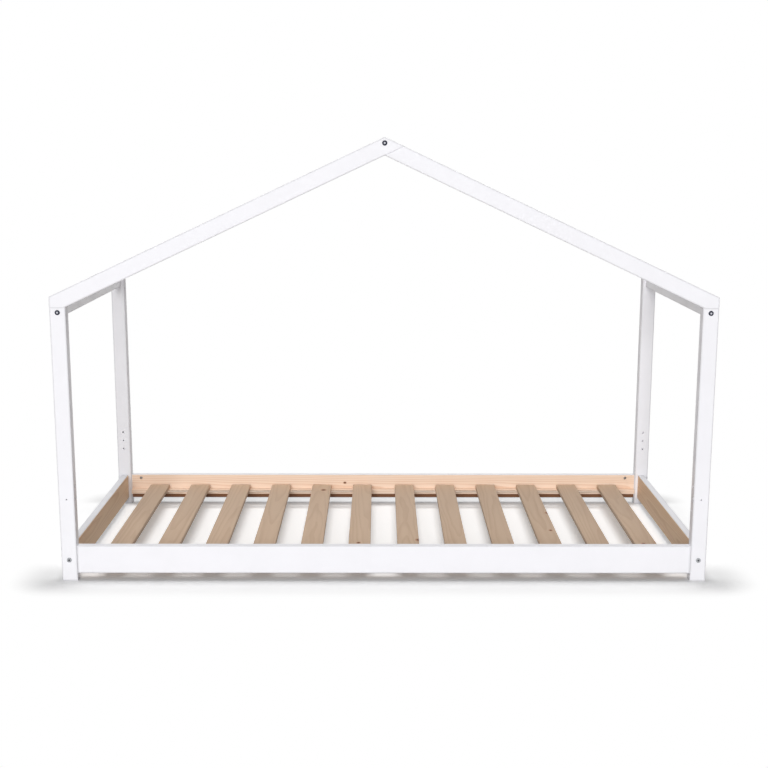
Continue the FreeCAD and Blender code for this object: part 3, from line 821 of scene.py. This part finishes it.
def makeTapes(look):
    cloth = webbing(webbingLook)
    for name in sorted(n for n in nodes if n.startswith("tape_") and "staples" not in n):
        low, high, middle, half = nodeBox(name)
        shape = newShape()
        addGrid(shape, tapeGrid(look, low, high, middle, half))
        tape = finishPiece("woven_" + name, shape, cloth, name)


makeTapes(webbingShape)
print("webbing made")


# A plain pale floor and soft studio light.

studio = {
    "floorHalf": 30.0,
    "floorLevel": -0.0003,
    "floorRoughness": 0.9,
    "floorShade": (0.64, 1.0),    # the floor's whiteness, as the bed is lit by it and as it is seen
    "floorLift": 0.24,            # light that only the eye sees on the floor, under the deck
    "liftFront": (-0.43, -0.27),  # on Y, where that starts and is full, from the front
    "liftRear": (0.49, 0.437),    # and from the rear
    "fade": (0.04, 0.17),         # out from the bed, where the floor starts to whiten and is plain white
    "fill": 0.18,                 # the surroundings, on the object
    "lamps": [
        # name, position, aim, side, power
        ("key", (-1.6, -16.0, 3.4), (0, 0, 0.5), 5.0, 1960),
        ("top", (0.0, 1.4, 7.0), (0, 0, 0), 4.0, 275),
    ],
}


def seenShare(tree):
    # 1 for rays that the eye follows: straight from the camera, mirrored, or through glass.
    path = put(tree, "LightPath").outputs
    seen = calc(tree, "MAXIMUM", path["Is Camera Ray"], path["Is Glossy Ray"])
    return calc(tree, "MAXIMUM", seen, path["Is Transmission Ray"])


def makeWorld(look):
    world = bpy.data.worlds.new("surroundings")
    bpy.context.scene.world = world
    world.use_nodes = True
    tree = world.node_tree
    background = tree.nodes["Background"]
    background.inputs["Color"].default_value = (1, 1, 1, 1)
    give(tree, background.inputs["Strength"], blendValues(tree, seenShare(tree), look["fill"], 1.0))


def floorSurface(look):
    # Near the bed the floor is lit, and lifted under the deck; away from it, it goes to plain white.
    material, tree, shader = newMaterial("floor")
    seen = seenShare(tree)
    lighting, showing = look["floorShade"]
    shade = blendColours(tree, seen, (lighting,) * 3, (showing,) * 3)
    give(tree, shader.inputs["Base Color"], shade)
    shader.inputs["Roughness"].default_value = look["floorRoughness"]
    shader.inputs["Specular IOR Level"].default_value = 0.0
    place = objectPlace(tree)
    across = split(tree, place)[1]
    under = remap(tree, across, *look["liftFront"])
    under = calc(tree, "MULTIPLY", under, remap(tree, across, *look["liftRear"]))
    under = calc(tree, "MULTIPLY", under, look["floorLift"])
    lift = put(tree, "Emission", {"Strength": calc(tree, "MULTIPLY", seen, under)})
    near = put(tree, "AddShader", {0: shader.outputs[0], 1: lift.outputs[0]})
    # How far a point lies outside the footprint: the length of what |x| and |y| pass its half sizes by.
    footprint = (cadBox[1][0], cadBox[1][1], 1)
    beyond = vectorCalc(tree, "SUBTRACT", vectorCalc(tree, "ABSOLUTE", place), footprint)
    away = vectorCalc(tree, "LENGTH", vectorCalc(tree, "MAXIMUM", beyond, (0, 0, 0)))
    white = calc(tree, "MULTIPLY", seen, remap(tree, away, *look["fade"]))
    plain = put(tree, "Emission")
    both = put(tree, "MixShader", {0: white, 1: near.outputs[0], 2: plain.outputs[0]})
    tree.links.new(both.outputs[0], tree.nodes["Material Output"].inputs["Surface"])
    return material


def makeFloor(look):
    half, level = look["floorHalf"], look["floorLevel"]
    corners = [(x * half, y * half, level) for x, y in ((-1, -1), (1, -1), (1, 1), (-1, 1))]
    mesh = bpy.data.meshes.new("floor")
    mesh.from_pydata(corners, [], [(0, 1, 2, 3)])
    mesh.materials.append(floorSurface(look))
    floor = bpy.data.objects.new("floor", mesh)
    bpy.context.scene.collection.objects.link(floor)


def makeLamps(look):
    for name, position, aim, side, power in look["lamps"]:
        data = bpy.data.lights.new(name, "AREA")
        data.size = side
        data.energy = power
        lamp = bpy.data.objects.new(name, data)
        bpy.context.scene.collection.objects.link(lamp)
        turn = (Vector(aim) - Vector(position)).to_track_quat("-Z", "Y").to_matrix()
        lamp.matrix_world = Matrix.Translation(position) @ turn.to_4x4()
        lamp.visible_camera = False
        lamp.visible_glossy = False


makeWorld(studio)
makeFloor(studio)
makeLamps(studio)
bpy.context.scene.view_settings.view_transform = "Standard"
print("studio lit")
